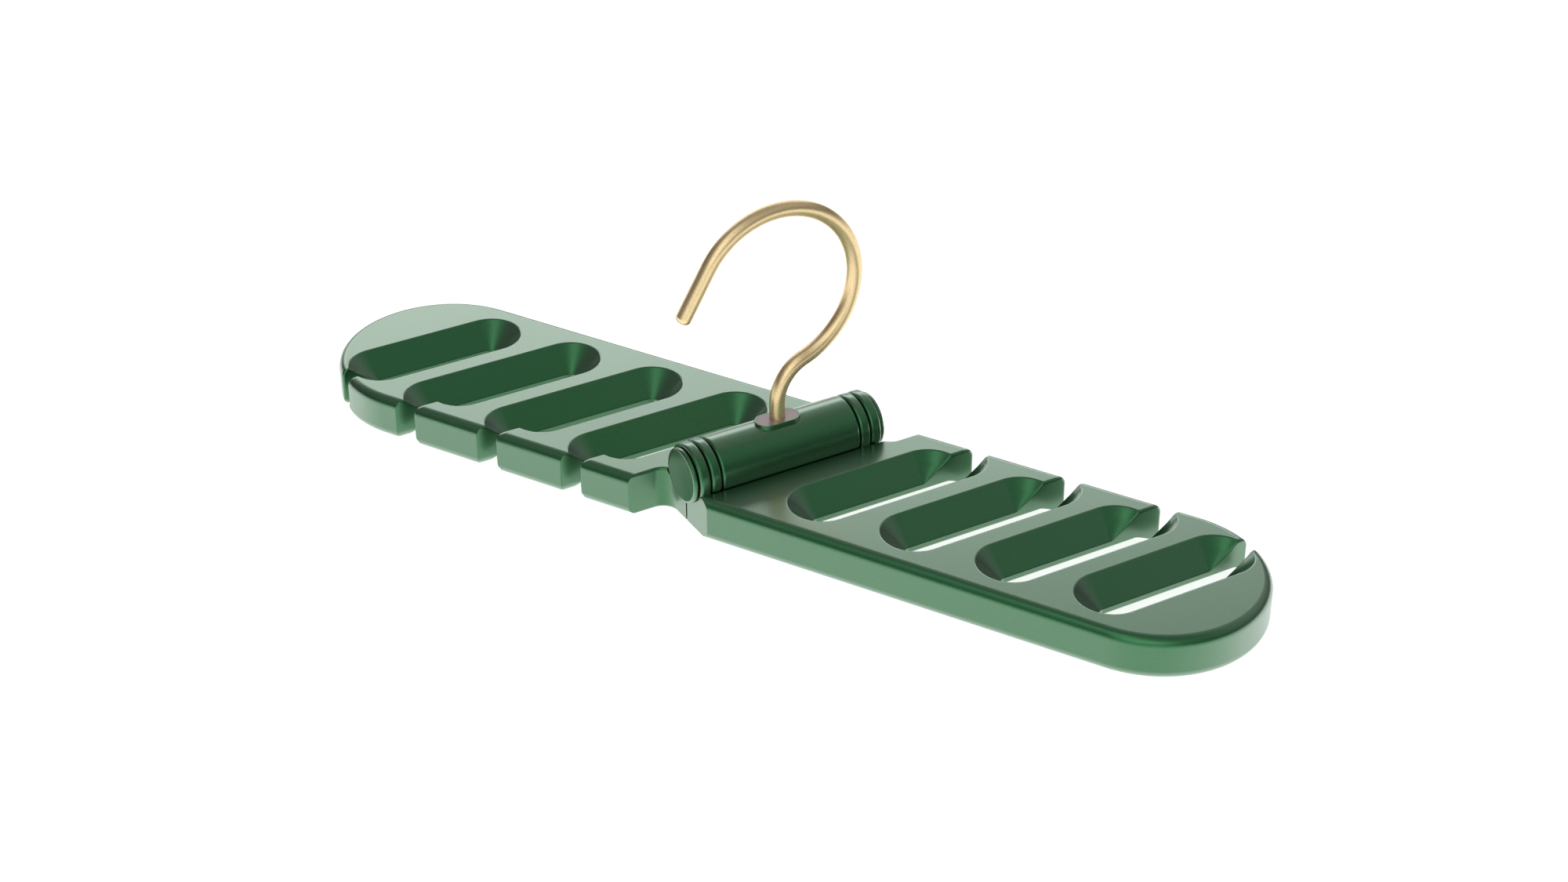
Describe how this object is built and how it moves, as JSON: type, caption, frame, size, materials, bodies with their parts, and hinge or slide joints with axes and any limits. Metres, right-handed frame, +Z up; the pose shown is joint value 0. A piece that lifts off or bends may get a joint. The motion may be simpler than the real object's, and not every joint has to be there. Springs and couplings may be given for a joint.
{
  "type": "belt hanger",
  "caption": "Folding belt hanger: two flat round-ended leaves with side-entry slots for belts, hinged on a barrel that carries a swivelling wire hook.",
  "frame": {"origin": "on the floor under the middle of the hinge, where the hook's turning axis meets the leaves' underside plane", "axes": "+Y along the hinge from the front cap to the rear cap, +X across it towards the right leaf, +Z up along the hook's shank"},
  "size_m": [0.2626, 0.178, 0.0922],
  "materials": {
    "satin_green": "moulded plastic under a satin sage-green coat with a very fine grain, paler at grazing angles",
    "satin_gold": "satin champagne-gold plated wire",
    "rose_plate": "matt rose-grey inlay plate",
    "pin_steel": "ground steel axle",
    "washer_polymer": "dark acetal washer"
  },
  "bodies": {
    "barrel": {"barrel": "satin_green", "hinge_pin": "pin_steel", "pin_cap_front": "satin_green", "pin_cap_rear": "satin_green", "wear_washer_front_outer": "washer_polymer", "wear_washer_front_inner": "washer_polymer", "wear_washer_rear_inner": "washer_polymer", "wear_washer_rear_outer": "washer_polymer", "swivel_plate": "rose_plate", "swivel_washer": "washer_polymer"},
    "leaf_right": {"leaf_right": "satin_green"},
    "leaf_left": {"leaf_left": "satin_green"},
    "hook": {"hook": "satin_gold"}
  },
  "joints": [
    {"name": "right_leaf_hinge", "type": "hinge", "parent": "barrel", "child": "leaf_right", "pos_m": [0, 0, 0.0155], "axis": [0, -1, 0], "range_deg": [0, 75]},
    {"name": "left_leaf_hinge", "type": "hinge", "parent": "barrel", "child": "leaf_left", "pos_m": [0, 0, 0.0155], "axis": [0, 1, 0], "range_deg": [0, 75]},
    {"name": "hook_swivel", "type": "hinge", "parent": "barrel", "child": "hook", "pos_m": [0, 0, 0.025], "axis": [0, 0, 1], "range_deg": [-180, 180]}
  ]
}
